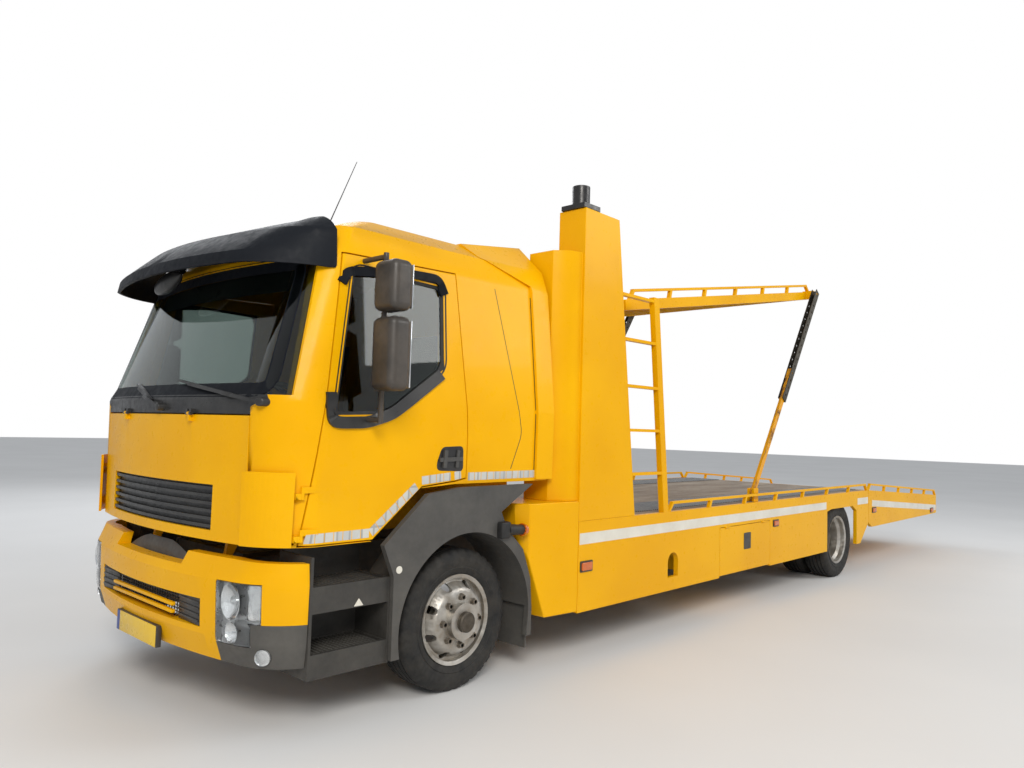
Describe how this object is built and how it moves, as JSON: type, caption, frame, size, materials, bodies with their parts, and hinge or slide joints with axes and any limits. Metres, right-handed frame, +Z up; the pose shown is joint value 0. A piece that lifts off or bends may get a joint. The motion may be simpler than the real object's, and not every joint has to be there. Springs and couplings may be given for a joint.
{
  "type": "car transporter truck",
  "caption": "Cab-over two-axle car transporter with a lower deck, tilting tail, column-lifted upper deck on struts, tilting cab and opening doors.",
  "frame": {"origin": "on the ground, below the middle of the overall length and width", "axes": "+X towards the tail, +Y to the right-hand side, +Z up"},
  "size_m": [10.818, 2.84, 3.225],
  "materials": {
    "aluminium_tank": "rolled aluminium",
    "beacon_black": "black beacon hood",
    "black_plastic": "black plastic",
    "body_yellow": "gloss yellow paint",
    "cab_glass": "lightly tinted glass",
    "cast_parts": "bare cast steel",
    "chassis_black": "satin black chassis paint",
    "deck_board": "resin faced deck board",
    "galvanised": "galvanised steel",
    "grey_plastic": "dark grey moulded plastic",
    "lamp_lens": "clear lamp lens",
    "seat_fabric": "woven seat cloth",
    "tail_lens": "red lamp lens",
    "tyre_rubber": "black tyre rubber",
    "wheel_silver": "silver painted steel wheels"
  },
  "bodies": {
    "root": {"chassis_frame": "chassis_black", "drive_train": "cast_parts", "fuel_tank": "aluminium_tank", "leaf_springs": "chassis_black", "front_axle": "chassis_black", "rear_axle": "chassis_black", "bumper": "body_yellow", "bumper_trim": "grey_plastic", "headlamps": "lamp_lens", "steps": "grey_plastic", "mudguards": "grey_plastic", "cross_members": "chassis_black", "body_frame": "galvanised", "lower_deck": "deck_board", "wheel_tracks": "galvanised", "side_skirts": "body_yellow", "side_lockers": "body_yellow", "deck_rails": "body_yellow", "columns": "body_yellow", "beacon": "beacon_black", "ladder": "body_yellow"},
    "track_rod": {"track_rod": "chassis_black"},
    "steer_left": {"steering_knuckle_left": "cast_parts"},
    "steer_right": {"steering_knuckle_right": "cast_parts"},
    "wheel_front_left": {"front_wheel_left": "wheel_silver", "front_tyre_left": "tyre_rubber"},
    "wheel_front_right": {"front_wheel_right": "wheel_silver", "front_tyre_right": "tyre_rubber"},
    "wheel_rear_left": {"rear_wheels_left": "wheel_silver", "rear_tyres_left": "tyre_rubber"},
    "wheel_rear_right": {"rear_wheels_right": "wheel_silver", "rear_tyres_right": "tyre_rubber"},
    "cab": {"cab_shell": "body_yellow", "windscreen": "cab_glass", "dashboard": "black_plastic", "seats": "seat_fabric", "steering_wheel": "black_plastic", "sun_visor": "black_plastic", "cab_fairings": "body_yellow", "cowl": "black_plastic"},
    "hatch": {"front_hatch": "body_yellow", "grille": "black_plastic"},
    "door_left": {"door_left": "body_yellow", "door_glass_left": "cab_glass", "mirror_left": "black_plastic"},
    "door_right": {"door_right": "body_yellow", "door_glass_right": "cab_glass", "mirror_right": "black_plastic"},
    "toolbox_left": {"toolbox_door_left": "body_yellow"},
    "toolbox_right": {"toolbox_door_right": "body_yellow"},
    "tail": {"tail_deck": "body_yellow", "tail_lamps": "tail_lens"},
    "lift": {"lift_carriages": "galvanised"},
    "upper": {"upper_frame": "body_yellow", "upper_neck": "body_yellow", "upper_floor": "galvanised"},
    "strut_bars": {"strut_bars": "body_yellow"},
    "strut_channels": {"strut_channels": "galvanised"}
  },
  "joints": [
    {"name": "steer_left", "type": "hinge", "parent": "root", "child": "steer_left", "pos_m": [-3.989, -0.8, 0.41], "axis": [0, 0, 1], "range_deg": [-35, 35]},
    {"name": "steer_right", "type": "hinge", "parent": "root", "child": "steer_right", "pos_m": [-3.989, 0.8, 0.41], "axis": [0, 0, 1], "range_deg": [-35, 35]},
    {"name": "track_rod_slide", "type": "slide", "parent": "root", "child": "track_rod", "axis": [0, 1, 0], "range_m": [-0.13, 0.13]},
    {"name": "roll_front_left", "type": "hinge", "parent": "steer_left", "child": "wheel_front_left", "pos_m": [-3.989, -0.98, 0.41], "axis": [0, 1, 0], "continuous": true},
    {"name": "roll_front_right", "type": "hinge", "parent": "steer_right", "child": "wheel_front_right", "pos_m": [-3.989, 0.98, 0.41], "axis": [0, 1, 0], "continuous": true},
    {"name": "roll_rear_left", "type": "hinge", "parent": "root", "child": "wheel_rear_left", "pos_m": [1.711, -1.072, 0.41], "axis": [0, 1, 0], "continuous": true},
    {"name": "roll_rear_right", "type": "hinge", "parent": "root", "child": "wheel_rear_right", "pos_m": [1.711, 1.072, 0.41], "axis": [0, 1, 0], "continuous": true},
    {"name": "cab_tilt", "type": "hinge", "parent": "root", "child": "cab", "pos_m": [-5.204, 0, 0.72], "axis": [0, -1, 0], "range_deg": [0, 50]},
    {"name": "hatch_open", "type": "hinge", "parent": "cab", "child": "hatch", "pos_m": [-5.335, 0, 1.566], "axis": [0, 1, 0], "range_deg": [0, 75]},
    {"name": "door_left_open", "type": "hinge", "parent": "cab", "child": "door_left", "pos_m": [-5.079, -1.135, 1.19], "axis": [0, 0, -1], "range_deg": [0, 65]},
    {"name": "door_right_open", "type": "hinge", "parent": "cab", "child": "door_right", "pos_m": [-5.079, 1.135, 1.19], "axis": [0, 0, 1], "range_deg": [0, 65]},
    {"name": "toolbox_left_open", "type": "hinge", "parent": "root", "child": "toolbox_left", "pos_m": [-0.979, -1.248, 0.745], "axis": [-1, 0, 0], "range_deg": [0, 90]},
    {"name": "toolbox_right_open", "type": "hinge", "parent": "root", "child": "toolbox_right", "pos_m": [-0.979, 1.248, 0.745], "axis": [1, 0, 0], "range_deg": [0, 90]},
    {"name": "tail_tilt", "type": "hinge", "parent": "root", "child": "tail", "pos_m": [2.611, 0, 0.6], "axis": [0, 1, 0], "range_deg": [0, 8.5]},
    {"name": "deck_lift", "type": "slide", "parent": "root", "child": "lift", "axis": [0, 0, 1], "range_m": [-1.27, 0]},
    {"name": "deck_tilt", "type": "hinge", "parent": "lift", "child": "upper", "pos_m": [-2.809, 0, 2.333], "axis": [0, 1, 0], "range_deg": [0, 9.7]},
    {"name": "strut_swing", "type": "hinge", "parent": "root", "child": "strut_bars", "pos_m": [-0.349, 0, 1.012], "axis": [0, 1, 0], "range_deg": [0, 50.16]},
    {"name": "strut_slide", "type": "slide", "parent": "strut_bars", "child": "strut_channels", "axis": [0.5687, 0, 0.8226], "range_m": [-1.0088, 0]}
  ],
  "couplings": [
    {"joint": "steer_right", "follows": "steer_left", "ratio": 1},
    {"joint": "track_rod_slide", "follows": "steer_left", "m_per_rad": 0.208},
    {"joint": "deck_tilt", "follows": "deck_lift", "rad_per_m": -0.13056},
    {"joint": "strut_swing", "follows": "deck_lift", "rad_per_m": -0.68651},
    {"joint": "strut_slide", "follows": "deck_lift", "ratio": 0.79197}
  ]
}
